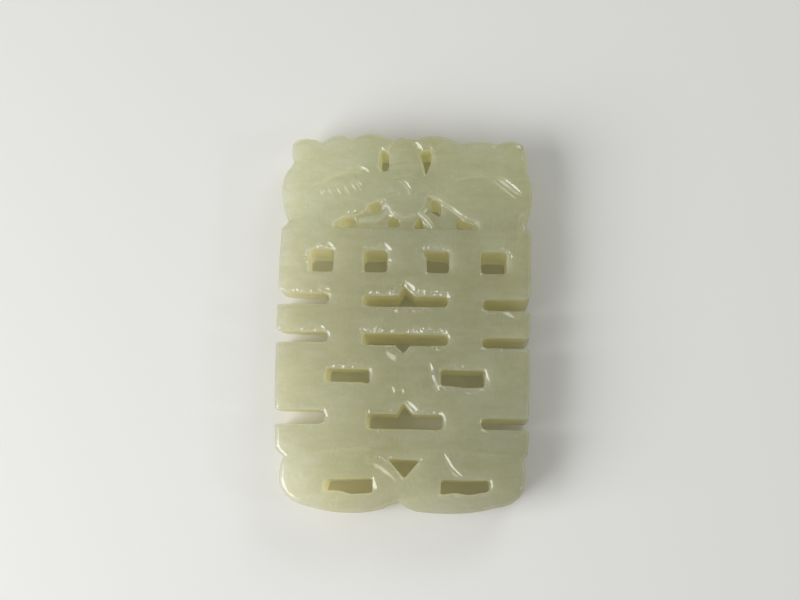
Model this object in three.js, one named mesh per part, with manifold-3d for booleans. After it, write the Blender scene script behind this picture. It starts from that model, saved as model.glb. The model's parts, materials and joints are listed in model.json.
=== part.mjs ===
// A jade openwork plaque, lying on its back with the carved face up.
// The top third is a butterfly seen from above, head down, with scalloped wings.
// Below it hangs a lattice of bars and blocks, pierced by windows, sawn through
// from both sides by notches and down the middle by slots, and closed by two
// round lobes. The whole work is one solid, ground from a single slab.

import * as THREE from 'three';
import { mergeVertices } from 'three/addons/utils/BufferGeometryUtils.js';
import Module from 'manifold-3d';

// ---------------------------------------------------------------- main sizes

const WIDTH = 40.4; // across the lattice
const LENGTH = 61.1; // from the two lobes to the top of the tallest scallop
const THICK = 8.5; // the slab
const EDGE = 0.95; // rounding of the outer edge, front and back
const RIM = 0.55; // rounding where an opening meets a face
const AXIS = 0.3; // the saw line of the lattice lies a little right of the middle

// Heights are measured up from the foot of the lobes.
const NECK = 8.5; // waist between the lobes and the lowest bar
const LATTICE_LOW = 9.7; // foot of the lowest bar
const LATTICE_TOP = 45.2; // top of the lattice, where the wings begin
const SHOULDER = 46.1; // waist between the lattice and the wings

// ------------------------------------------------------------------- outline

// The outline runs anticlockwise from the notch between the lobes. It is a chain
// of arcs, each given by the point halfway along it and the point where it ends.
const START = [-0.1, 1.8];

const RIGHT_LOBE = [
  [[0.7, 1.15], [2.6, 0.5]],
  [[8.9, 0.25], [14.7, 1.2]],
  [[18.3, 2.6], [19.4, 5.5]],
  [[19.45, 7.3], [19.05, NECK]],
];

// The sides of the lattice are nearly straight, a little wider at the top.
const RIGHT_SIDE = [
  [[19.35, 9.0], [19.85, LATTICE_LOW]],
  [[20.05, 26], [20.15, LATTICE_TOP - 1.2]],
  [[19.9, LATTICE_TOP - 0.1], [19.25, SHOULDER]],
];

// Each wing has one long lobe up its side, and scallops across the top.
const WINGS = [
  [[20.25, 50.8], [19.4, 55.0]],
  [[19.4, 56.9], [19.15, 58.2]],
  [[18.85, 59.2], [18.1, 59.7]],
  [[16.4, 60.0], [14.35, 59.4]],
  [[11.7, 60.0], [8.8, 59.4]],
  [[4.6, 60.8], [0.95, 59.9]],
  [[-0.65, 60.45], [-2.3, 59.9]],
  [[-5.9, LENGTH - 0.05], [-8.95, 60.0]],
  [[-11.4, 60.7], [-13.75, 59.5]],
  [[-16.1, 60.1], [-17.9, 59.8]],
  [[-18.65, 59.3], [-18.85, 58.1]],
  [[-18.8, 57.1], [-18.5, 56.0]],
  [[-18.9, 55.2], [-19.5, 54.5]],
  [[-20.2, 50.8], [-18.95, SHOULDER]],
];

const LEFT_SIDE = [
  [[-19.3, SHOULDER - 0.5], [-20.0, LATTICE_TOP - 0.3]],
  [[-WIDTH / 2, 27], [-19.65, LATTICE_LOW]],
  [[-19.1, 9.1], [-18.25, NECK - 0.1]],
];

const LEFT_LOBE = [
  [[-18.65, 7.3], [-18.75, 6.0]],
  [[-18.1, 3.0], [-15.3, 1.1]],
  [[-8.6, 0], [-2.8, 0.8]],
  [[-1.3, 1.55], START],
];

// Points around the outline about `step` apart, with every arc's end kept.
function outline(step) {
  const points = [];
  let start = new THREE.Vector2(...START);
  for (const [peak, stop] of [RIGHT_LOBE, RIGHT_SIDE, WINGS, LEFT_SIDE, LEFT_LOBE].flat()) {
    const end = new THREE.Vector2(...stop);
    const pull = new THREE.Vector2(...peak).multiplyScalar(2)
      .addScaledVector(start, -0.5).addScaledVector(end, -0.5);
    const arc = new THREE.QuadraticBezierCurve(start, pull, end);
    const parts = Math.max(2, Math.round(arc.getLength() / step));
    for (let i = 0; i < parts; i++) points.push(arc.getPointAt(i / parts));
    start = end;
  }
  return points;
}

// The way inwards at each point, evened out over its neighbours so that the
// rounding of the edge never folds over itself at a corner.
function inward(points, reach) {
  const count = points.length;
  return points.map((_, i) => {
    const sum = new THREE.Vector2();
    for (let k = -reach; k < reach; k++) {
      const a = points[(i + k + count) % count];
      const b = points[(i + k + 1 + count) % count];
      sum.add(new THREE.Vector2(a.y - b.y, b.x - a.x));
    }
    return sum.normalize();
  });
}

// -------------------------------------------------------------- solid helpers

const wasm = await Module();
wasm.setup();

function toSolid(geometry) {
  const bare = new THREE.BufferGeometry();
  bare.setAttribute('position', geometry.getAttribute('position'));
  if (geometry.index) bare.setIndex(geometry.index);
  const welded = mergeVertices(bare, 1e-4);
  return new wasm.Manifold(new wasm.Mesh({
    numProp: 3,
    vertProperties: new Float32Array(welded.attributes.position.array),
    triVerts: new Uint32Array(welded.index.array),
  }));
}

function toGeometry(solid) {
  const mesh = solid.getMesh();
  const geometry = new THREE.BufferGeometry();
  geometry.setAttribute('position', new THREE.BufferAttribute(mesh.vertProperties, 3));
  geometry.setIndex(new THREE.BufferAttribute(mesh.triVerts, 1));
  geometry.computeVertexNormals();
  return geometry;
}

// The slab: rings around the outline, stepping inwards over the rounded edge at
// the back and at the front, with a flat face closing each end.
function slab() {
  const rim = outline(1.3);
  const count = rim.length;
  const turns = [0, 1, 2, 3].map((k) => (k * Math.PI) / 6);
  const back = turns.map((t) => [EDGE * (1 - Math.sin(t)), EDGE * (1 - Math.cos(t))]);
  const front = back.map(([inset, height]) => [inset, THICK - height]).reverse();
  const rings = [...back, ...front];
  const way = inward(rim, 2);
  const points = rings.flatMap(([inset, height]) => rim.flatMap((at, i) => {
    const moved = at.clone().addScaledVector(way[i], inset);
    return [moved.x, moved.y, height];
  }));
  const faces = [];
  for (let ring = 0; ring + 1 < rings.length; ring++) {
    for (let i = 0; i < count; i++) {
      const a = ring * count + i;
      const b = ring * count + ((i + 1) % count);
      faces.push(a, b, b + count, a, b + count, a + count);
    }
  }
  const face = rim.map((at, i) => at.clone().addScaledVector(way[i], EDGE));
  const last = (rings.length - 1) * count;
  for (const [a, b, c] of THREE.ShapeUtils.triangulateShape(face, [])) {
    faces.push(a, c, b, last + a, last + b, last + c);
  }
  const geometry = new THREE.BufferGeometry();
  geometry.setAttribute('position', new THREE.Float32BufferAttribute(points, 3));
  geometry.setIndex(faces);
  return toSolid(geometry);
}

// A hole right through the slab that opens out in a rounded rim at each face.
// `lean` is how far up the plaque the hole has wandered by the time it reaches
// the back, and `drift` how far to the right.
function pierce(shape, { rim = RIM, lean = 0, drift = 0 } = {}) {
  const hole = new THREE.ExtrudeGeometry(shape, {
    depth: THICK - 2 * rim,
    bevelThickness: rim,
    bevelSize: -rim,
    bevelOffset: rim,
    bevelSegments: 2,
    curveSegments: 2,
  }).translate(0, 0, rim);
  // Both ends are drawn out a little past the faces, straight.
  const place = hole.getAttribute('position');
  for (let i = 0; i < place.count; i++) {
    const z = place.getZ(i);
    place.setX(i, place.getX(i) + drift * (1 - z / THICK));
    place.setY(i, place.getY(i) + lean * (1 - z / THICK));
    if (z > THICK - 0.01) place.setZ(i, THICK + 0.02);
    if (z < 0.01) place.setZ(i, -0.02);
  }
  return toSolid(hole);
}

// A closed figure through `corners`, each corner rounded by `soft`.
function rounded(corners, soft) {
  const shape = new THREE.Shape();
  const at = corners.map(([x, y]) => new THREE.Vector2(x, y));
  at.forEach((corner, i) => {
    const before = at[(i + at.length - 1) % at.length].clone().sub(corner);
    const after = at[(i + 1) % at.length].clone().sub(corner);
    const reach = Math.min(soft, before.length() / 2.2, after.length() / 2.2);
    const enter = corner.clone().addScaledVector(before.normalize(), reach);
    const leave = corner.clone().addScaledVector(after.normalize(), reach);
    if (i === 0) shape.moveTo(enter.x, enter.y);
    else shape.lineTo(enter.x, enter.y);
    shape.quadraticCurveTo(corner.x, corner.y, leave.x, leave.y);
  });
  shape.closePath();
  return shape;
}

function box(left, right, low, high) {
  return [[left, low], [right, low], [right, high], [left, high]];
}

// ------------------------------------------------------- lattice: the windows

const WINDOW_LOW = 37.9; // the four square windows share these heights
const WINDOW_HIGH = 41.5;
const WINDOWS = [
  { left: -15.2, right: -11.4, lean: -0.4, drift: -0.4 },
  { left: -6.5, right: -2.8, lean: -0.4, drift: -0.4 },
  { left: 3.5, right: 7.1, lean: -0.3, drift: 0 },
  { left: 12.2, right: 16.2, lean: -0.5, drift: 0 },
];

function squareWindows() {
  const holes = WINDOWS.map(({ left, right, lean, drift }) =>
    pierce(rounded(box(left, right, WINDOW_LOW, WINDOW_HIGH), 0.6), { lean, drift }));
  // The third window ran out of true at its upper left corner.
  holes.push(pierce(rounded([[3.0, 40.9], [3.7, 40.1], [4.6, 41.2], [3.4, 41.6]], 0.3)));
  return holes;
}

// The long windows were filed by hand, so their corners are not square.
function longWindows() {
  const middle = { left: 20.2, right: 19.8, high: 22.2 };
  return [
    pierce(rounded([[-12.0, middle.left], [-6.6, middle.left], [-5.1, 19.9],
      [-5.2, middle.high], [-11.9, middle.high]], 0.4), { lean: 0.45 }),
    pierce(rounded([[6.1, 20.0], [10.6, 19.6], [13.0, middle.right],
      [12.9, 22.4], [6.1, 22.4]], 0.4)),
    pierce(rounded([[-11.8, 3.3], [-9.2, 3.3], [-7.4, 2.8], [-4.2, 3.1],
      [-4.3, 5.3], [-11.4, 5.0]], 0.4)),
    pierce(rounded([[6.3, 3.0], [8.6, 3.4], [10.6, 3.1], [13.9, 3.7],
      [13.9, 5.3], [6.4, 5.3]], 0.4)),
  ];
}

function triangleWindow() {
  return pierce(rounded([[-1.9, 8.3], [0.7, 5.4], [3.0, 8.2]], 0.35), { rim: 0.7 });
}

// ----------------------------------------------- lattice: notches and slots

// One row of saw cuts: a notch from each side and a slot down the middle.
// `worn` is how far the two corners at a notch's mouth are worn back, the lower
// one first. `nick` is the file cut at the middle of the slot.
const ROWS = [
  {
    left: { low: 13.5, high: 15.7, worn: [0.9, 0.5], lean: 0.3 },
    right: { low: 13.2, high: 14.9, worn: [0.6, 0.5], lean: -0.3 },
    slot: { left: -5.3, right: 6.5, low: 13.0, high: 15.3, lean: 0 },
    nick: [[-0.9, 15.0], [0.25, 17.0], [2.1, 15.0]],
  },
  {
    left: { low: 26.4, high: 28.0, worn: [0.7, 1.0], lean: 0.8 },
    right: { low: 26.0, high: 27.6, worn: [0.5, 0.9], lean: -0.4 },
    slot: { left: -6.4, right: 7.1, low: 26.2, high: 28.0, lean: -0.6 },
    nick: [[-1.7, 26.6], [1.6, 26.6], [0.05, 24.9]],
  },
  {
    left: { low: 32.5, high: 34.2, worn: [0.4, 1.5], lean: 0.6 },
    right: { low: 32.0, high: 33.8, worn: [1.1, 1.2], lean: -0.6 },
    slot: { left: -6.4, right: 7.0, low: 32.4, high: 34.1, lean: -0.35 },
    nick: [[-1.0, 33.8], [0.0, 35.5], [2.0, 33.8]],
  },
];

const NOTCH_END = 12.2; // how near the saw line a side notch reaches

// A saw cut in from one side, with a round end and worn corners at its mouth.
function notch(side, { low, high, worn, lean }) {
  const out = WIDTH / 2 + 3;
  const edge = WIDTH / 2 - AXIS * side;
  const round = (high - low) / 2;
  const shape = new THREE.Shape();
  shape.moveTo(out, low - worn[0]);
  shape.lineTo(edge, low - worn[0]);
  shape.quadraticCurveTo(edge, low, edge - worn[0], low);
  shape.lineTo(NOTCH_END + round, low);
  shape.quadraticCurveTo(NOTCH_END, low, NOTCH_END, low + round);
  shape.quadraticCurveTo(NOTCH_END, high, NOTCH_END + round, high);
  shape.lineTo(edge - worn[1], high);
  shape.quadraticCurveTo(edge, high, edge, high + worn[1]);
  shape.lineTo(out, high + worn[1]);
  const cut = pierce(shape, { lean });
  return (side < 0 ? cut.mirror([1, 0, 0]) : cut).translate([AXIS, 0, 0]);
}

function sawnRows() {
  return ROWS.flatMap(({ left, right, slot, nick }) => [
    notch(-1, left),
    notch(1, right),
    pierce(rounded(box(slot.left, slot.right, slot.low, slot.high), 0.7), { lean: slot.lean }),
    pierce(rounded(nick, 0.25), { rim: 0.7 }),
  ]);
}

// ------------------------------------------------------- butterfly: the holes

// Two drilled openings beside the tail, and six small ones between the lower
// edge of the wings, the feelers and the lattice.
const TAIL_HOLES = [
  [[-4.4, 58.1], [-3.1, 57.7], [-2.8, 55.2], [-3.5, 54.3], [-4.5, 55.1]],
  [[1.9, 57.8], [3.8, 58.2], [4.0, 56.4], [3.1, 53.8], [2.7, 55.6]],
];
const WING_HOLES = [
  [[-6.3, 49.0], [-4.3, 49.6], [-3.9, 48.6], [-4.9, 47.4], [-6.3, 47.9]],
  [[3.8, 50.0], [5.0, 49.9], [5.8, 49.0], [5.6, 47.1], [3.9, 47.9]],
  [[-11.2, 45.5], [-9.8, 46.9], [-8.1, 46.8], [-8.0, 45.4], [-10.5, 45.2]],
  [[-3.1, 45.4], [-2.7, 46.9], [-1.3, 47.0], [-0.9, 45.4]],
  [[1.2, 45.5], [1.9, 46.9], [2.4, 46.9], [3.2, 45.2], [1.5, 45.1]],
  [[7.9, 45.0], [8.4, 47.2], [9.6, 46.3], [10.9, 46.1], [10.8, 45.2]],
];

function wingHoles() {
  return [
    ...TAIL_HOLES.map((corners) => pierce(rounded(corners, 0.5), { rim: 0.4, lean: 0.45 })),
    ...WING_HOLES.map((corners) => pierce(rounded(corners, 0.5), { rim: 0.4 })),
  ];
}

// ---------------------------------------------------- butterfly: the carving

// The field of the feelers is cut down below the wings and the lattice.
const FIELD_DEPTH = 0.7;

function feelerField() {
  const shape = rounded([[-12.0, 44.9], [11.9, 44.9], [11.6, 46.4], [9.4, 47.0],
    [5.4, 49.8], [3.2, 50.8], [2.9, 49.0], [1.6, 47.4], [-0.2, 46.9], [-2.0, 47.5],
    [-3.3, 49.0], [-3.6, 50.0], [-6.1, 49.2], [-6.6, 48.1], [-8.2, 47.1],
    [-9.8, 47.2], [-11.5, 46.1]], 0.6);
  const slope = 0.2; // the wall of the field leans outwards
  return toSolid(new THREE.ExtrudeGeometry(shape, {
    depth: 1,
    bevelThickness: FIELD_DEPTH,
    bevelSize: slope,
    bevelOffset: -slope,
    bevelSegments: 1,
    curveSegments: 3,
  }).translate(0, 0, THICK));
}

// A wheel-cut line in the front face, deepest in the middle and fading out at
// both ends. It is a spindle of diamond sections along the curve through `stops`.
function engrave(stops, width, depth) {
  const curve = new THREE.CatmullRomCurve3(stops.map(([x, y]) => new THREE.Vector3(x, y, THICK)));
  const steps = 4 * (stops.length - 1) + 2;
  const points = [];
  const faces = [];
  for (let i = 0; i <= steps; i++) {
    const along = curve.getTangentAt(i / steps);
    const across = new THREE.Vector3(-along.y, along.x, 0).normalize();
    const swell = Math.sqrt(Math.sin(Math.PI * (i + 0.25) / (steps + 0.5)));
    const side = across.clone().multiplyScalar(swell * width / 2);
    const down = new THREE.Vector3(0, 0, swell * depth);
    const centre = curve.getPointAt(i / steps);
    for (const corner of [side, down, side.clone().negate(), down.clone().negate()]) {
      points.push(...centre.clone().add(corner).toArray());
    }
    for (let k = 0; i < steps && k < 4; k++) {
      const here = 4 * i + k;
      const next = 4 * i + (k + 1) % 4;
      faces.push(here, next, here + 4, next, next + 4, here + 4);
    }
  }
  const last = 4 * steps;
  faces.push(0, 2, 1, 0, 3, 2, last, last + 1, last + 2, last, last + 2, last + 3);
  const geometry = new THREE.BufferGeometry();
  geometry.setAttribute('position', new THREE.Float32BufferAttribute(points, 3));
  geometry.setIndex(faces);
  return toSolid(geometry);
}

function wingLines() {
  return [
    engrave([[-15.1, 51.6], [-11.5, 53.5], [-8.7, 54.3], [-6.3, 53.6]], 0.7, 0.25),
    engrave([[6.8, 52.7], [11.0, 53.8], [14.4, 53.4], [17.9, 51.0]], 0.7, 0.25),
  ];
}

// Grooves that part the tail from the wings, and rings across the body.
function bodyLines() {
  const rings = [56.0, 54.9, 53.4].map((top) =>
    engrave([[-2.7, top - 0.4], [-0.2, top + 0.2], [2.7, top - 0.4]], 0.5, 0.2));
  return [
    engrave([[-2.2, 59.6], [-2.7, 58.6], [-3.5, 57.6]], 1.1, 0.5),
    engrave([[1.1, 59.6], [1.7, 58.6], [2.5, 57.6]], 1.1, 0.5),
    ...rings,
  ];
}

// Hollows between the wing tips and the lattice, and a groove above each lobe.
function edgeLines() {
  return [
    engrave([[19.9, 48.6], [18.7, 47.2], [18.1, 45.6], [18.0, 42.6]], 1.0, 0.4),
    engrave([[-12.4, 9.6], [-7.0, 9.8], [-1.6, 9.6]], 0.8, 0.2),
    engrave([[8.5, 10.0], [13.0, 9.4], [18.3, 9.2]], 0.8, 0.2),
  ];
}

// ---------------------------------------------------------------- the plaque

function carve() {
  const cuts = [
    ...squareWindows(),
    ...longWindows(),
    triangleWindow(),
    ...sawnRows(),
    ...wingHoles(),
    feelerField(),
    ...wingLines(),
    ...bodyLines(),
    ...edgeLines(),
  ];
  return slab().subtract(wasm.Manifold.union(cuts));
}

// The plaque rests on its back, with the origin under the middle of its outline.
function centred(solid) {
  const { min, max } = solid.boundingBox();
  return solid.translate([-(min[0] + max[0]) / 2, -(min[1] + max[1]) / 2, -min[2]]);
}

const jade = new THREE.MeshStandardMaterial({
  color: 0xa9ab82,
  roughness: 0.22,
  metalness: 0,
});
jade.name = 'jade';

const plaque = new THREE.Mesh(toGeometry(centred(carve())), jade);
plaque.name = 'jade_plaque';

const carving = new THREE.Group();
carving.name = 'jade_carving';
carving.add(plaque);

export default carving;
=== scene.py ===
# %% [markdown]
# # A jade openwork plaque
#
# This lesson finishes a hand-sized jade plaque: a butterfly over a pierced lattice,
# all ground out of one thick slab. The slab with its openings comes from the CAD
# model. Here it gets what a carver's wheel, files and polishing felt leave on it:
# engraved lines, scooped edges, chips, a softly uneven polish, and the look of
# cloudy stone that lets light a little way in.
#
# The frame is loaded first. It says where the slab is, in metres, and everything
# below takes its places from it.

# %% Load the frame
import json
import math
import random

import bpy
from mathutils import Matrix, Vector

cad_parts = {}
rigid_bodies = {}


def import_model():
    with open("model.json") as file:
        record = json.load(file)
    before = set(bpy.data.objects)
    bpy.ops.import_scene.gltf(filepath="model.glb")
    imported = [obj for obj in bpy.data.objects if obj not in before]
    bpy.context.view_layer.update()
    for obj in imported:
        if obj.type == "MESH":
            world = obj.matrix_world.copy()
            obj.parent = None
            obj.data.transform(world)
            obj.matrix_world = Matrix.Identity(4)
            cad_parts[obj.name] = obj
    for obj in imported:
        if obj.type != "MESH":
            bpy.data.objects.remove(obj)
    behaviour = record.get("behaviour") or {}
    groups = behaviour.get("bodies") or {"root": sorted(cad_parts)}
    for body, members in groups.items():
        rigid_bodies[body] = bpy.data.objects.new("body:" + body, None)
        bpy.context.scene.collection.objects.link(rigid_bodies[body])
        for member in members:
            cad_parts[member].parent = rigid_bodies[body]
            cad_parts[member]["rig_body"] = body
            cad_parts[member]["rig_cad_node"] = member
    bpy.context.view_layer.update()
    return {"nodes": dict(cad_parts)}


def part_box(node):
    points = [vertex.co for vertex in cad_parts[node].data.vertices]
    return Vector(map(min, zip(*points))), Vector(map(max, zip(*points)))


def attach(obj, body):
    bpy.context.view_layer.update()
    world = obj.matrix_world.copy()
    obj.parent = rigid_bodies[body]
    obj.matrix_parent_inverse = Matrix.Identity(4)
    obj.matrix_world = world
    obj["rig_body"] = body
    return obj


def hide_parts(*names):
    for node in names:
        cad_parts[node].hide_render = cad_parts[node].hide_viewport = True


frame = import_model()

low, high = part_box("jade_plaque")
print("slab from", tuple(low), "to", tuple(high))

# %% [markdown]
# ## Measuring on the plaque
#
# A carver marks out work from the foot of the plaque and from its middle line, in
# millimetres. One helper turns such a mark into a point on the front face.

# %% Places on the face
MM = 0.001
FACE = high.z
MIDDLE = (low.x + high.x) / 2


def on_face(x, y, above=0.0):
    """A point x mm right of the middle and y mm up from the foot of the lobes."""
    return Vector((MIDDLE + x * MM, low.y + y * MM, FACE + above * MM))


def only(thing):
    """Selects one object alone and makes it the active one."""
    bpy.ops.object.select_all(action="DESELECT")
    thing.select_set(True)
    bpy.context.view_layer.objects.active = thing


def settle(thing):
    """Puts an object's place, turn and size into its mesh."""
    only(thing)
    bpy.ops.object.transform_apply(location=True, rotation=True, scale=True)


def apply_modifier(thing, kind, **settings):
    """Adds a modifier, sets it up and applies it at once."""
    only(thing)
    modifier = thing.modifiers.new(kind.title(), kind)
    for name, value in settings.items():
        setattr(modifier, name, value)
    bpy.ops.object.modifier_apply(modifier=modifier.name)


print("face at", round(FACE / MM, 2), "mm above the table")

# %% [markdown]
# ## The slab
#
# The frame's own mesh is never changed, so the work is done on a copy. It arrives as
# loose triangles, and merging the doubled corners makes it one closed skin, which
# every later step needs.

# %% Copy the slab
only(frame["nodes"]["jade_plaque"])
bpy.ops.object.duplicate()
jade = bpy.context.view_layer.objects.active
jade.name = jade.data.name = "jade_carving"
jade.parent = None
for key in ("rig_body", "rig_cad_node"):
    del jade[key]
jade.data.materials.clear()

bpy.ops.object.mode_set(mode="EDIT")
bpy.ops.mesh.select_all(action="SELECT")
bpy.ops.mesh.remove_doubles(threshold=0.002 * MM)
bpy.ops.object.mode_set(mode="OBJECT")
print("slab:", len(jade.data.vertices), "corners,", len(jade.data.polygons), "faces")

# %% [markdown]
# ## Head and feelers
#
# The sunk field under the wings is not flat. The carver left the butterfly's head
# standing in it as a low dome, and two feelers as ridges between the small
# openings. They are added to the slab before anything is cut, so that the cuts run
# over them. The dome is a squashed ball and the feelers are tapered tubes, all sunk
# so deep that only their tops show.


# %% A tapered tube
def tube(stops, radius, sink, ends, peak=0.5):
    """A round bar through x, y stops in mm, `sink` mm below the face. It swells from
    `ends` times its radius to all of it at `peak`, a share of its length."""
    bpy.ops.curve.primitive_bezier_curve_add(location=(0, 0, 0))
    line = bpy.context.active_object
    bpy.ops.object.mode_set(mode="EDIT")
    bpy.ops.curve.select_all(action="SELECT")
    bpy.ops.curve.delete(type="VERT")
    for x, y in stops:
        bpy.ops.curve.vertex_add(location=on_face(x, y, -sink))
    bpy.ops.object.mode_set(mode="OBJECT")
    spline = line.data.splines[0]
    spline.radius_interpolation = "EASE"
    line.data.resolution_u = 8
    bend = math.log(0.5) / math.log(peak)  # moves the fullest place from the middle to `peak`
    for i, point in enumerate(spline.bezier_points):
        point.handle_left_type = point.handle_right_type = "AUTO"
        way = (i / (len(stops) - 1)) ** bend
        point.radius = ends + (1 - ends) * math.sin(math.pi * way)
    line.data.bevel_depth = radius * MM
    line.data.bevel_resolution = 6
    line.data.use_fill_caps = True
    only(line)
    bpy.ops.object.convert(target="MESH")
    bpy.ops.object.mode_set(mode="EDIT")
    bpy.ops.mesh.select_all(action="SELECT")
    bpy.ops.mesh.remove_doubles(threshold=0.001 * MM)
    bpy.ops.mesh.normals_make_consistent(inside=False)
    bpy.ops.object.mode_set(mode="OBJECT")
    return line


def boolean(parts, operation):
    """Joins the parts and adds them to the slab or takes them away."""
    only(parts[0])
    for part in parts:
        part.select_set(True)
    bpy.ops.object.join()
    whole = bpy.context.view_layer.objects.active
    apply_modifier(jade, "BOOLEAN", operation=operation, object=whole, solver="EXACT", use_self=True)
    bpy.data.objects.remove(whole)


# %% Head and feelers
bpy.ops.mesh.primitive_uv_sphere_add(
    segments=32, ring_count=16, radius=1, location=on_face(-0.2, 49.4, -0.72)
)
dome = bpy.context.active_object
dome.scale = (3.9 * MM, 2.9 * MM, 0.66 * MM)
settle(dome)
right_feeler = tube([(0.7, 48.9), (2.2, 47.6), (3.5, 46.4), (4.4, 45.2)], 0.42, 0.36, ends=0.7)
left_feeler = tube([(-2.6, 48.5), (-4.4, 46.9), (-6.0, 46.6), (-7.5, 46.3)], 0.55, 0.58, ends=0.7)
boolean([dome, right_feeler, left_feeler], "UNION")
print("with head and feelers:", len(jade.data.polygons), "faces")

# %% [markdown]
# ## Wheel-cut lines
#
# Lines in jade are ground with a small wheel fed with grit. The wheel goes in
# gently, cuts deepest in the middle of the stroke and lifts out again, so each line
# is a groove with a round floor that fades at both ends. The same tapered tube has
# that shape when it is laid just above the face. All the tools are collected and
# taken away from the slab together at the end.

# %% A tool for lines
tools = []


def wheel_line(stops, width, depth, peak=0.5):
    """A groove through the stops, `width` and `depth` mm at its deepest."""
    radius = (width * width / 4 + depth * depth) / (2 * depth)
    tools.append(tube(stops, radius, depth - radius, 1 - 1.05 * depth / radius, peak))


# %% [markdown]
# ## The butterfly's lines
#
# Each wing has two long arcs that meet at one end and part at the other, and the
# left wing has a fan of short strokes under them. The body is crossed by arched
# rings, and the eyes are small nested arcs.

# %% Wings
WING_ARCS = [
    ([(-17.4, 49.3), (-15.0, 51.7), (-12.2, 53.3), (-10.0, 54.1), (-7.8, 54.1), (-5.2, 52.8)], 0.9, 0.24, 0.6),
    ([(-13.4, 53.1), (-10.2, 54.7), (-8.7, 55.05), (-7.3, 54.8), (-5.4, 53.5)], 0.9, 0.30, 0.65),
    ([(4.6, 51.6), (8.2, 53.2), (10.6, 53.7), (13.6, 53.4), (15.8, 51.9), (19.0, 49.2)], 0.9, 0.24, 0.6),
    ([(8.8, 53.9), (13.0, 54.1), (15.0, 53.5), (16.8, 52.3), (19.6, 49.9)], 0.9, 0.30, 0.65),
]
for stops, width, depth, peak in WING_ARCS:
    wheel_line(stops, width, depth, peak)

FAN = [(-13.9, 51.4), (-12.6, 51.7), (-11.3, 52.0), (-10.1, 52.2), (-9.0, 52.8), (-8.3, 53.0)]
for k, (x, y) in enumerate(FAN):
    reach = 1.0 + 0.14 * k
    stroke = [
        (x - 0.35, y + 0.45),
        (x + 0.35 * reach, y - 0.45 * reach),
        (x + 1.15 * reach, y - 1.9 * reach),
    ]
    wheel_line(stroke, 0.70, 0.12)
print(len(tools), "lines so far")

# %% Body, head and tail
BODY_LINES = [
    ([(-2.2, 58.0), (-1.4, 59.1), (-0.5, 59.3), (0.7, 59.2), (1.6, 58.6)], 0.5, 0.11),
    ([(-2.6, 57.3), (-0.5, 58.1), (1.9, 57.6)], 0.55, 0.11),
    ([(-2.8, 55.5), (-0.4, 56.2), (2.5, 55.7)], 0.55, 0.13),
    ([(-2.9, 54.2), (-0.4, 55.1), (2.8, 54.4)], 0.55, 0.15),
    ([(-3.4, 52.8), (-1.0, 53.5), (0.9, 53.6), (3.7, 53.0)], 0.65, 0.17),
    ([(-1.7, 53.1), (-0.4, 52.6), (0.3, 51.7), (0.8, 49.8)], 0.75, 0.24),
    ([(-3.6, 49.8), (-2.8, 50.9), (-2.1, 51.1), (-1.3, 50.8), (-0.7, 49.8)], 0.5, 0.15),
    ([(-3.1, 49.7), (-2.3, 50.3), (-1.8, 50.3), (-1.1, 49.7)], 0.4, 0.10),
    ([(1.2, 50.0), (2.0, 50.8), (2.7, 51.0), (3.8, 50.9)], 0.5, 0.13),
    ([(4.2, 58.9), (4.5, 57.3), (5.0, 56.0), (4.7, 54.3)], 0.5, 0.11),
    ([(-4.6, 59.1), (-4.0, 58.0), (-3.5, 56.7)], 0.5, 0.27),
    ([(-2.4, 58.3), (-3.0, 57.2), (-3.2, 55.6)], 0.5, 0.27),
    ([(1.3, 58.5), (2.4, 57.8), (2.7, 56.7)], 0.5, 0.27),
    ([(2.8, 58.9), (3.8, 58.3), (4.2, 57.0)], 0.5, 0.27),
]
for stops, width, depth in BODY_LINES:
    wheel_line(stops, width, depth)
print(len(tools), "lines so far")

# %% [markdown]
# ## Lines and hollows on the lattice
#
# The lattice is plainer. Long shallow strokes part the lowest bar from the lobes, a
# shallow valley runs down the middle block, and wide slanting hollows lead to the
# three-cornered window and to the nicks, where the wheel ran over the edge.

# %% Lattice lines
LATTICE_LINES = [
    ([(-16.0, 9.0), (-10.0, 9.6), (-5.0, 9.8), (0.4, 9.3)], 1.1, 0.18),
    ([(6.6, 10.4), (11.4, 9.6), (15.0, 9.3), (20.0, 9.2)], 1.1, 0.18),
    ([(-19.4, 34.9), (-12.6, 34.8), (-8.0, 34.6), (-4.6, 34.5)], 0.7, 0.09),
    ([(2.8, 35.2), (8.0, 34.9), (13.0, 35.1), (19.6, 35.0)], 0.7, 0.09),
    ([(0.1, 25.0), (0.2, 21.0), (0.2, 17.2)], 1.2, 0.15),
    ([(4.0, 24.3), (4.4, 22.4), (4.9, 20.6)], 0.9, 0.27),
    ([(4.3, 22.6), (4.9, 20.4), (6.4, 18.1)], 0.9, 0.31),
    ([(-1.8, 20.3), (-1.4, 18.8), (-1.1, 17.5)], 0.6, 0.22),
    ([(0.0, 20.2), (0.1, 18.6), (0.3, 17.3)], 0.55, 0.22),
    ([(-6.0, 7.5), (-4.6, 8.0), (-3.2, 7.9), (-1.8, 7.0), (-0.6, 5.8), (0.3, 4.0)], 2.2, 0.46),
    ([(6.1, 10.2), (7.2, 8.2), (8.2, 6.8), (10.6, 5.1)], 0.95, 0.26),
    ([(-0.2, 42.0), (-0.2, 40.4), (-0.2, 38.8)], 0.4, 0.08),
    ([(2.5, 50.9), (4.9, 49.6), (7.2, 48.3), (10.3, 46.4)], 0.90, 0.36),
    ([(19.9, 49.0), (18.6, 47.2), (18.2, 45.8), (17.9, 43.4), (17.5, 38.9)], 0.8, 0.28),
]
for stops, width, depth in LATTICE_LINES:
    wheel_line(stops, width, depth)
print(len(tools), "lines so far")


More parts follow.
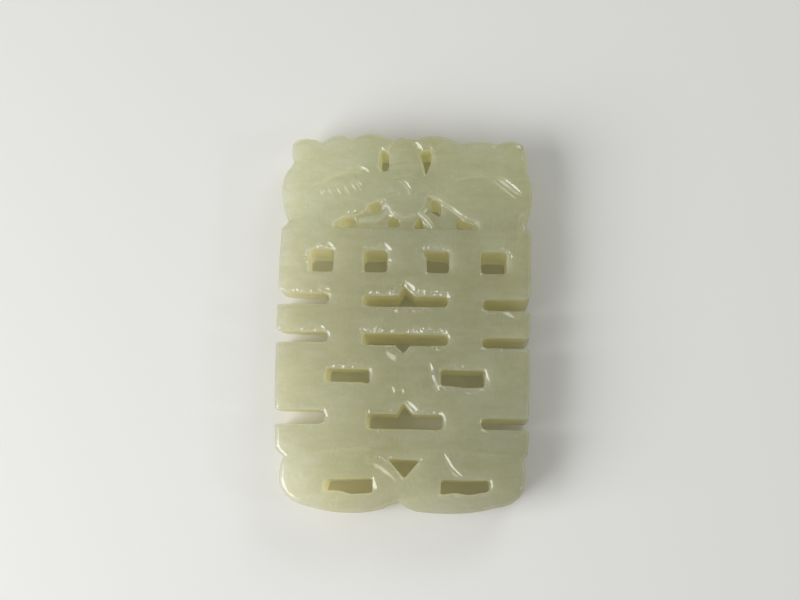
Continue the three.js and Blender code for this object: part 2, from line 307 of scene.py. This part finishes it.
# %% A tool for hollows
def hollow(x, y, long, wide, deep, turn=0.0):
    """A bowl centred on x, y mm, with its long axis swung by `turn` degrees."""
    radius = (wide * wide / 4 + deep * deep) / (2 * deep)
    bpy.ops.mesh.primitive_uv_sphere_add(
        segments=40, ring_count=24, radius=radius * MM, location=on_face(x, y, radius - deep)
    )
    ball = bpy.context.active_object
    ball.scale = (long / wide, 1, 1)
    ball.rotation_euler = (0, 0, math.radians(turn))
    settle(ball)
    tools.append(ball)


HOLLOWS = [
    # below the middle nick, at the right
    (1.4, 25.5, 2.4, 1.1, 0.26, 38),
    # over the square windows
    (-12.9, 42.2, 2.8, 1.2, 0.28, -8),
    (5.5, 42.2, 4.0, 1.1, 0.28, -6),
    (16.7, 39.9, 1.1, 3.0, 0.28, 0),
    # the bars below the upper slot
    (2.4, 31.8, 2.4, 1.0, 0.22, 0),
    # the bars above the slots and the left notches
    (-4.9, 28.7, 2.2, 1.0, 0.28, -14),
    (2.2, 28.8, 2.6, 0.9, 0.24, -8),
    (-12.8, 34.9, 2.4, 1.0, 0.28, -14),
    (-13.4, 28.7, 2.0, 1.0, 0.24, -10),
    # beside the long windows
    (-7.3, 23.0, 4.6, 1.0, 0.20, -3),
    (11.2, 19.0, 3.2, 0.9, 0.20, -3),
    # under the head
    (-3.4, 48.6, 1.8, 0.9, 0.26, -38),
    (1.6, 46.6, 3.2, 0.9, 0.24, -42),
]
for spec in HOLLOWS:
    hollow(*spec)
print(len(tools), "tools so far")

# %% [markdown]
# Where the wheel ran over a rim it left a scoop that falls away into the opening.
# That is a hollow whose middle lies over the opening, so only one side of it is
# seen. Each scoop starts on the face at its own place and falls in one direction.


# %% Scoops over the rims
def scoop(x, y, long, towards, slope, radius):
    """A scoop that starts at x, y mm with a given slope, and falls `towards` a direction."""
    turn, tip = math.radians(towards), math.radians(slope)
    reach = radius * math.sin(tip)
    middle_x, middle_y = x + reach * math.cos(turn), y + reach * math.sin(turn)
    hollow(middle_x, middle_y, long, 2 * reach, radius * (1 - math.cos(tip)), towards - 90)


SCOOPS = [
    # the nicks: lower left of the middle one, right of the others
    (-1.95, 24.0, 5.2, 52, 28, 4.4),
    (1.7, 35.5, 4.2, 222, 38, 2.1),
    (1.9, 16.8, 4.4, 228, 36, 1.4),
    # a corner of a square window
    (-2.6, 42.2, 2.8, 225, 38, 1.5),
    # lower rims: upper slot, right notch, middle slot
    (-1.2, 31.3, 4.0, 58, 28, 3.0),
    (16.2, 31.2, 5.4, 60, 28, 2.6),
    (5.3, 25.4, 3.0, 58, 28, 2.2),
    # right rims of windows
    (17.1, 39.8, 3.4, 200, 38, 1.5),
    (13.6, 21.3, 3.6, 196, 36, 1.2),
    (-3.6, 4.3, 2.8, 196, 36, 1.1),
]
for spec in SCOOPS:
    scoop(*spec)
print(len(tools), "tools so far")

# %% [markdown]
# ## Chipped edges
#
# Jade is tough, and at an edge the coarse grit of a file pulls out small chips. They
# sit along the rims of the slots, windows and nicks, some close together and some
# far apart. Each is bitten out by a small turned block, which leaves a flat little
# scar. Most scars look to the left and to the foot, the way the file was pushed. The
# chips are spread by chance along lines that follow the rims, from a fixed seed, so
# they land in the same places each time.

# %% Chips
chance = random.Random(7)


def chips(start, end, count, size):
    """Bites `count` chips of about `size` mm out of the rim between two places."""
    for k in range(count):
        way = (k + chance.uniform(0.1, 0.9)) / count
        x = start[0] + (end[0] - start[0]) * way + chance.uniform(-0.1, 0.1)
        y = start[1] + (end[1] - start[1]) * way + chance.uniform(-0.1, 0.15)
        reach = size * chance.uniform(0.6, 1.7)
        bpy.ops.mesh.primitive_cube_add(size=1, location=on_face(x, y, 0.28 * reach))
        chip = bpy.context.active_object
        chip.scale = (2.2 * reach * MM, 1.2 * reach * MM, 0.9 * reach * MM)
        chip.rotation_euler = (
            chance.uniform(0.0, 0.55),
            chance.uniform(-0.6, -0.05),
            chance.uniform(-0.7, 0.3),
        )
        settle(chip)
        tools.append(chip)


CHIPPED = [
    # the upper slot: left part, nick, right part, lower rim
    ((-6.0, 34.3), (-1.2, 34.3), 12, 0.48),
    ((-1.4, 34.5), (-0.3, 35.8), 6, 0.48),
    ((0.1, 35.8), (2.0, 34.5), 10, 0.54),
    ((2.0, 34.35), (7.0, 34.35), 26, 0.54),
    ((-4.2, 32.2), (5.0, 32.2), 18, 0.46),
    ((7.2, 34.0), (7.2, 32.5), 4, 0.44),
    # the middle slot
    ((-6.4, 28.3), (-3.0, 28.3), 12, 0.50),
    ((-2.0, 28.2), (7.0, 28.3), 24, 0.46),
    ((2.0, 26.1), (7.2, 26.1), 15, 0.46),
    ((-4.0, 26.1), (-1.9, 26.1), 4, 0.40),
    # the lower slot
    ((-5.0, 15.5), (-1.4, 15.5), 7, 0.42),
    ((0.5, 16.9), (2.4, 15.6), 5, 0.42),
    ((2.6, 15.5), (6.6, 15.5), 12, 0.44),
    ((-4.8, 12.8), (6.0, 12.8), 14, 0.36),
    # the square windows
    ((-15.3, 39.0), (-15.2, 41.6), 6, 0.44),
    ((-14.8, 41.7), (-11.6, 41.7), 7, 0.42),
    ((-6.4, 41.7), (-2.8, 41.7), 11, 0.42),
    ((-2.4, 41.4), (-2.4, 38.8), 4, 0.38),
    ((3.0, 41.8), (7.2, 41.8), 14, 0.46),
    ((3.2, 38.2), (7.0, 38.2), 6, 0.34),
    ((16.4, 38.0), (16.4, 41.4), 7, 0.44),
    ((12.4, 41.8), (16.0, 41.8), 5, 0.36),
    # side notches
    ((-13.2, 34.4), (-12.0, 33.3), 5, 0.42),
    ((-12.6, 28.0), (-12.1, 26.8), 4, 0.42),
    ((13.2, 31.9), (19.4, 31.8), 15, 0.42),
    ((13.0, 25.9), (19.4, 25.9), 9, 0.36),
    ((-19.4, 34.4), (-13.2, 34.4), 8, 0.38),
    ((-19.4, 28.2), (-13.4, 28.2), 6, 0.34),
    ((13.0, 13.0), (19.2, 13.0), 6, 0.34),
    # the long windows and the three-cornered one
    ((-11.8, 22.4), (-5.4, 22.4), 11, 0.40),
    ((6.2, 22.5), (12.8, 22.5), 9, 0.38),
    ((7.0, 19.6), (13.0, 19.5), 15, 0.42),
    ((-11.6, 19.9), (-5.6, 19.9), 6, 0.32),
    ((-11.6, 5.3), (-4.2, 5.5), 9, 0.36),
    ((-11.0, 2.9), (-4.4, 2.9), 10, 0.36),
    ((6.6, 2.9), (13.6, 3.2), 10, 0.36),
    ((6.6, 5.2), (13.4, 5.2), 6, 0.34),
    ((-1.6, 8.4), (3.0, 8.3), 8, 0.36),
    ((2.8, 8.0), (1.0, 5.8), 4, 0.34),
    # the lower edge of the right wing and the field of the feelers
    ((3.2, 50.4), (9.4, 46.9), 10, 0.26),
    ((9.4, 46.7), (11.6, 46.1), 6, 0.40),
    ((-11.4, 44.95), (11.6, 44.95), 28, 0.32),
    ((-9.6, 47.2), (-6.6, 48.3), 5, 0.30),
]
for run in CHIPPED:
    chips(*run)

# %% [markdown]
# Where the wheel chattered it left a comb of short ticks across the stroke. Such a
# comb runs along the upper side of the hollow beside the three-cornered window.

# %% Chatter
COMB = [
    (-4.9, 8.5), (-4.5, 8.6), (-4.1, 8.65), (-3.7, 8.6), (-3.3, 8.5), (-2.9, 8.3),
    (-2.5, 8.05), (-2.15, 7.8), (-1.8, 7.5), (-1.5, 7.2), (-1.2, 6.9), (-0.9, 6.6),
]
for x, y in COMB:
    wheel_line([(x - 0.35, y - 0.75), (x, y), (x + 0.3, y + 0.6)], 0.30, 0.42)
print(len(tools), "tools in all")

# %% [markdown]
# ## The cut
#
# All the tools are joined into one mesh and taken away in a single cut instead of
# hundreds. The exact solver copes with tools that run into each other.

# %% Cut everything away
before = len(jade.data.polygons)
boolean(tools, "DIFFERENCE")
print("faces before and after the cut:", before, len(jade.data.polygons))

# %% [markdown]
# ## Polish
#
# Jade is polished by hand for days, and no edge stays crisp. A voxel remesh turns
# the cut slab into an even skin of small squares, a smoothing pass rounds what the
# felt would reach, and a very slight displacement keeps the faces from being
# machine-flat.

# %% Remesh and smooth
VOXEL = 0.125 * MM        # fine enough for the narrowest line
WAVE = 4 * MM             # how far apart the polish rises and falls
WAVE_HEIGHT = 0.14 * MM   # and by how much
BACK_EDGE = 0.5 * MM      # below this height nothing is displaced
apply_modifier(jade, "REMESH", mode="VOXEL", voxel_size=VOXEL, adaptivity=0.0)
print("skin of", len(jade.data.polygons), "faces")
apply_modifier(jade, "SMOOTH", factor=0.5, iterations=1)

# The back stays flat, so that the plaque lies on the table without rocking.
above_table = jade.vertex_groups.new(name="above_table")
raised = [corner.index for corner in jade.data.vertices if corner.co.z > BACK_EDGE]
above_table.add(raised, 1.0, "ADD")
felt = bpy.data.textures.new("felt", "CLOUDS")
felt.noise_scale = WAVE
felt.noise_depth = 1
apply_modifier(
    jade, "DISPLACE", texture=felt, texture_coords="GLOBAL",
    strength=WAVE_HEIGHT, mid_level=0.5, vertex_group="above_table",
)
jade.vertex_groups.clear()

# %% [markdown]
# The skin now has far more faces than the shape needs. Decimating it keeps them
# where it curves and drops them where it is flat.

# %% Thin out the skin
TRIANGLES = 196_000
triangles = 2 * len(jade.data.polygons)
apply_modifier(jade, "DECIMATE", ratio=TRIANGLES / triangles, use_collapse_triangulate=True)
only(jade)
bpy.ops.object.shade_smooth()

# The flat back is left with long thin faces. Letting each face count by its area when
# the shading is evened out clears most of the faint fans of shade that they cause.
apply_modifier(jade, "WEIGHTED_NORMAL", mode="FACE_AREA", weight=50, keep_sharp=False)
print("finished skin:", len(jade.data.polygons), "triangles")

# %% [markdown]
# ## The stone
#
# Pale green jade is neither clear nor opaque. Light goes a few millimetres in and
# comes out again softened, so thin places glow and shadows stay mild. That is
# subsurface scattering. Over it lies a waxy polish, which the shader's coat gives. The
# coat has a high index of refraction, so that its glints stay bright when the shader
# is mixed with another one further down.

# %% Body and polish
stone = bpy.data.materials.new("jade")
stone.use_nodes = True
nodes, links = stone.node_tree.nodes, stone.node_tree.links
shader = nodes["Principled BSDF"]
shader.subsurface_method = "RANDOM_WALK"
STONE = {
    "Subsurface Weight": 1.0,
    "Subsurface Radius": (1.0, 0.97, 0.7),
    "Subsurface Scale": 8 * MM,
    "IOR": 1.6,
    "Specular IOR Level": 1.0,
    "Coat Weight": 1.0,
    "Coat Roughness": 0.08,
    "Coat IOR": 2.2,
}
for socket, value in STONE.items():
    shader.inputs[socket].default_value = value
print("shader set with", len(STONE), "values")

# %% [markdown]
# ## Patterns in the stone
#
# Every pattern is read from the place inside the object, in metres, so it runs through the stone as it does in
# a real slab instead of lying on it like paint. Noise gives the cloudy ones. A value that grows along one axis
# gives the slow changes from side to side, most of which are painted light and shade. A few helpers turn such
# values into colours and lay them over each other.

# %% Pattern helpers
place = nodes.new("ShaderNodeTexCoord")


def clouds(size, detail, rough=0.5, stretch=(1, 1, 1)):
    """Noise on the stone with features about `size` mm across, as a 0 to 1 value."""
    mapping = nodes.new("ShaderNodeMapping")
    mapping.inputs["Scale"].default_value = stretch
    noise = nodes.new("ShaderNodeTexNoise")
    noise.inputs["Scale"].default_value = 1 / (size * MM)
    noise.inputs["Detail"].default_value = detail
    noise.inputs["Roughness"].default_value = rough
    links.new(place.outputs["Object"], mapping.inputs["Vector"])
    links.new(mapping.outputs["Vector"], noise.inputs["Vector"])
    return noise.outputs["Fac"]


def along(axis, first, last):
    """A 0 to 1 value that grows along one axis, between two places in mm."""
    split = nodes.new("ShaderNodeSeparateXYZ")
    links.new(place.outputs["Object"], split.inputs["Vector"])
    reach = nodes.new("ShaderNodeMapRange")
    reach.inputs["From Min"].default_value = first * MM
    reach.inputs["From Max"].default_value = last * MM
    links.new(split.outputs[axis], reach.inputs["Value"])
    return reach.outputs["Result"]


# %% Colour helpers
BLACK, WHITE = (0, 0, 0), (1, 1, 1)


def ramp(value, *stops):
    """A colour ramp through (position, colour) stops."""
    node = nodes.new("ShaderNodeValToRGB")
    band = node.color_ramp
    while len(band.elements) < len(stops):
        band.elements.new(0.5)
    for element, (position, colour) in zip(band.elements, stops):
        element.position = position
        element.color = (*colour, 1)
    links.new(value, node.inputs["Fac"])
    return node.outputs["Color"]


def multiply(first, second):
    """One colour tinted by another."""
    node = nodes.new("ShaderNodeMix")
    node.data_type = "RGBA"
    node.blend_type = "MULTIPLY"
    node.inputs["Factor"].default_value = 1.0
    links.new(first, node.inputs["A"])
    links.new(second, node.inputs["B"])
    return node.outputs["Result"]


def blend(first, second, share):
    """The first colour turning into the second where `share` is 1."""
    node = nodes.new("ShaderNodeMix")
    node.data_type = "RGBA"
    links.new(share, node.inputs["Factor"])
    links.new(first, node.inputs["A"])
    links.new(second, node.inputs["B"])
    return node.outputs["Result"]


# %% [markdown]
# ## Colour of the stone
#
# The green of the body drifts over some 14 mm, and milky clouds a few millimetres across lie in it. Over that,
# light and shade are painted into the colour: painted light makes the plaque palest at the left and at both
# ends, and painted shade deepens it to the right. Being painted on the slab, it stays with the plaque when the
# lamps are moved.

# %% Green and milk
body = ramp(
    clouds(14, 3),
    (0.30, (0.88, 0.89, 0.645)),
    (0.52, (0.90, 0.92, 0.712)),
    (0.75, (0.92, 0.945, 0.785)),
)
milk = ramp(
    clouds(2.5, 6, 0.7, (0.7, 1.3, 1)),
    (0.35, (0.92, 0.925, 0.89)),
    (0.50, (0.97, 0.97, 0.95)),
    (0.66, (1.02, 1.02, 1.05)),
)

# %% Painted light and shade along the side and the ends
# Painted light at the left, paler and bluer where the window lamp falls, fading into painted shade at the
# right.
painted_light_side = ramp(
    along("X", -20, 20),
    (0.0, (1.01, 1.01, 1.12)),
    (0.14, (1.0, 1.003, 1.07)),
    (0.25, (0.975, 0.975, 1.0)),
    (0.4, (0.90, 0.90, 0.89)),
    (1.0, (0.845, 0.845, 0.825)),
)
# Painted light: paler towards the foot and towards the top.
ends = ramp(
    along("Y", -30, 30),
    (0.0, (0.98, 0.98, 1.06)),
    (0.08, (0.955, 0.955, 0.985)),
    (0.16, (0.925, 0.925, 0.92)),
    (0.75, (0.93, 0.93, 0.92)),
    (0.86, (0.965, 0.967, 0.94)),
    (1.0, (0.985, 0.988, 0.96)),
)
# The stone's own tone, times the painted light and shade of the side and the ends.
tone_and_painted_light = multiply(multiply(body, milk), multiply(painted_light_side, ends))
print("body colour made of", len(nodes), "nodes")

# %% [markdown]
# ## Marks in the stone
#
# Fine upright streaks show only in patches, where the polish stopped short of the last file marks. They are
# kept faint, because strong ones look like cloth. Long thin beds lie across the slab, and small pale flecks
# are strewn through it; these flecks are partly dull unpolished spots and partly painted glints off tiny
# scratches.

# %% Streaks in patches
streaks = clouds(0.34, 2, 0.6, (1, 0.2, 1))
streaked = multiply(tone_and_painted_light, ramp(streaks, (0.40, (0.97, 0.975, 0.965)), (0.62, (1.03, 1.03, 1.05))))
patches = ramp(clouds(4.5, 3, 0.6), (0.50, BLACK), (0.62, WHITE))
marks_and_painted_light = blend(tone_and_painted_light, streaked, patches)

# %% Beds, and flecks with painted glints
bedding = ramp(
    clouds(1.1, 4, 0.65, (0.18, 1, 1)),
    (0.38, (0.98, 0.985, 0.975)),
    (0.66, (1.02, 1.02, 1.035)),
)
# Pale flecks: partly dull unpolished spots, partly painted glints off tiny scratches.
flecks_and_painted_glints = ramp(clouds(0.42, 3, 0.6), (0.57, WHITE), (0.70, (1.07, 1.07, 1.12)))
print("with its marks:", len(nodes), "nodes")

# %% [markdown]
# ## Walls and ground
#
# The sawn walls of the openings are rougher and warmer than the polished face, and part of their warm tint is
# painted reflection of red light from below. How steep a face stands is read from its normal: 0 on a wall and
# 1 on the face. The sunk field round the feelers was polished less and is paler, so a band of height just
# below the face is lightened. Painted shade makes the lower right lobe the deepest green, and painted light
# makes the walls near both ends a little paler than those in the middle.

# %% Walls
facing = nodes.new("ShaderNodeNewGeometry")
upright = nodes.new("ShaderNodeSeparateXYZ")
links.new(facing.outputs["Normal"], upright.inputs["Vector"])
flatness = nodes.new("ShaderNodeMath")
flatness.operation = "ABSOLUTE"
links.new(upright.outputs["Z"], flatness.inputs[0])
# Warm on the walls, partly their own tone and partly painted reflection of red light; sloping rims a touch
# darker.
wall_tone_and_painted_bounce = ramp(
    flatness.outputs["Value"],
    (0.0, (1.05, 0.965, 0.85)),
    (0.25, (1.03, 0.967, 0.89)),
    (0.5, (0.98, 0.972, 0.95)),
    (0.8, (0.975, 0.98, 0.98)),
    (0.97, WHITE),
)

# %% Ground, and painted shade on the lower right lobe
PALE = (1.07, 1.07, 1.10)
ground = ramp(along("Z", 7.5, 8.5), (0.40, WHITE), (0.62, PALE), (0.84, PALE), (0.92, WHITE))
# Painted shade: the lower right lobe is darkened.
rightwards = ramp(along("X", 4, 18), (0.0, BLACK), (1.0, WHITE))
painted_shade_lobe = multiply(rightwards, ramp(along("Y", -8, -22), (0.0, BLACK), (1.0, WHITE)))
marks_and_painted_light = multiply(marks_and_painted_light, ramp(painted_shade_lobe, (0.0, WHITE), (1.0, (0.89, 0.89, 0.875))))

# %% All the colours together
colour = multiply(multiply(multiply(marks_and_painted_light, bedding), flecks_and_painted_glints), multiply(wall_tone_and_painted_bounce, ground))
# Painted light: the walls near both ends are lightened.
painted_light_end_walls = ramp(
    along("Y", -30, 30),
    (0.11, (1.06, 1.05, 1.0)),
    (0.17, WHITE),
    (0.77, WHITE),
    (0.9, (1.04, 1.06, 1.11)),
)
only_walls = ramp(flatness.outputs["Value"], (0.3, WHITE), (0.6, BLACK))
colour = blend(colour, multiply(colour, painted_light_end_walls), only_walls)
links.new(colour, shader.inputs["Base Color"])
print("colour done:", len(nodes), "nodes")

# %% [markdown]
# ## Gloss and depth
#
# The polish did not reach everywhere alike, so the gloss wanders, and the streaks are
# also the slightest of scratches. Scattering alone left the plaque looking heavier than
# thin jade does, so a translucent shader of the same colour is mixed in, which lets more
# light through the bars.

# %% Gloss and scratches
gloss = nodes.new("ShaderNodeMapRange")
gloss.inputs["To Min"].default_value = 0.12
gloss.inputs["To Max"].default_value = 0.28
links.new(clouds(6, 4), gloss.inputs["Value"])
links.new(gloss.outputs["Result"], shader.inputs["Roughness"])

scratch = nodes.new("ShaderNodeBump")
scratch.inputs["Strength"].default_value = 0.3
scratch.inputs["Distance"].default_value = 0.03 * MM
links.new(streaks, scratch.inputs["Height"])
links.new(scratch.outputs["Normal"], shader.inputs["Normal"])

# %% Light through the stone
LET_THROUGH = 0.7
deep = nodes.new("ShaderNodeBsdfTranslucent")
links.new(colour, deep.inputs["Color"])
both = nodes.new("ShaderNodeMixShader")
both.inputs["Fac"].default_value = LET_THROUGH
links.new(shader.outputs["BSDF"], both.inputs[1])
links.new(deep.outputs["BSDF"], both.inputs[2])
links.new(both.outputs["Shader"], nodes["Material Output"].inputs["Surface"])

jade.data.materials.append(stone)
print("stone has", len(nodes), "nodes")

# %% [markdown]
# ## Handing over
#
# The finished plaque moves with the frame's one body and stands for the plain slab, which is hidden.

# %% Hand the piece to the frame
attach(jade, "root")
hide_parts("jade_plaque")

# %% [markdown]
# ## Table, light and camera
#
# The plaque lies on a pale matt table. A wide lamp at the left stands for a window. It
# gives the light its direction and puts the glints on the edges that face it. A fainter
# one beyond the butterfly picks out the scoops that fall the other way, a small one at
# the right lifts that side, and an even pale room fills the shadows. The camera looks
# almost straight down.

# %% Table
bpy.ops.mesh.primitive_plane_add(size=3, location=(0, 0, 0))
table = bpy.context.active_object
table.name = "table"
paper = bpy.data.materials.new("paper")
paper.use_nodes = True
paper_shader = paper.node_tree.nodes["Principled BSDF"]
paper_shader.inputs["Base Color"].default_value = (0.775, 0.775, 0.757, 1)
paper_shader.inputs["Roughness"].default_value = 0.8
table.data.materials.append(paper)


# %% Light
def soft_light(name, place, size, watts):
    """A square lamp at a place in metres, turned to the plaque."""
    bpy.ops.object.light_add(type="AREA", location=place)
    lamp = bpy.context.active_object
    lamp.name = name
    lamp.data.size = size
    lamp.data.energy = watts
    lamp.rotation_euler = (-Vector(place)).to_track_quat("-Z", "Y").to_euler()


soft_light("window", (-0.34, -0.165, 0.26), 0.33, 1.96)
soft_light("far_window", (0.20, 0.31, 0.30), 0.20, 0.35)
soft_light("room_lamp", (0.34, -0.08, 0.24), 0.06, 0.10)
world = bpy.data.worlds.new("room")
world.use_nodes = True
room = world.node_tree.nodes["Background"]
room.inputs["Color"].default_value = (1.0, 1.0, 0.985, 1)
room.inputs["Strength"].default_value = 0.345
bpy.context.scene.world = world
bpy.context.scene.view_settings.view_transform = "Standard"

# %% Camera
bpy.ops.object.camera_add(
    location=(6.35 * MM, -31.3 * MM, 195.4 * MM),
    rotation=(math.radians(10.39), math.radians(1.88), math.radians(1.38)),
)
camera = bpy.context.active_object
camera.data.lens = 54
camera.data.sensor_width = 36
camera.data.clip_start = 0.01
bpy.context.scene.camera = camera

print("camera", round(camera.location.z / MM), "mm above the table")
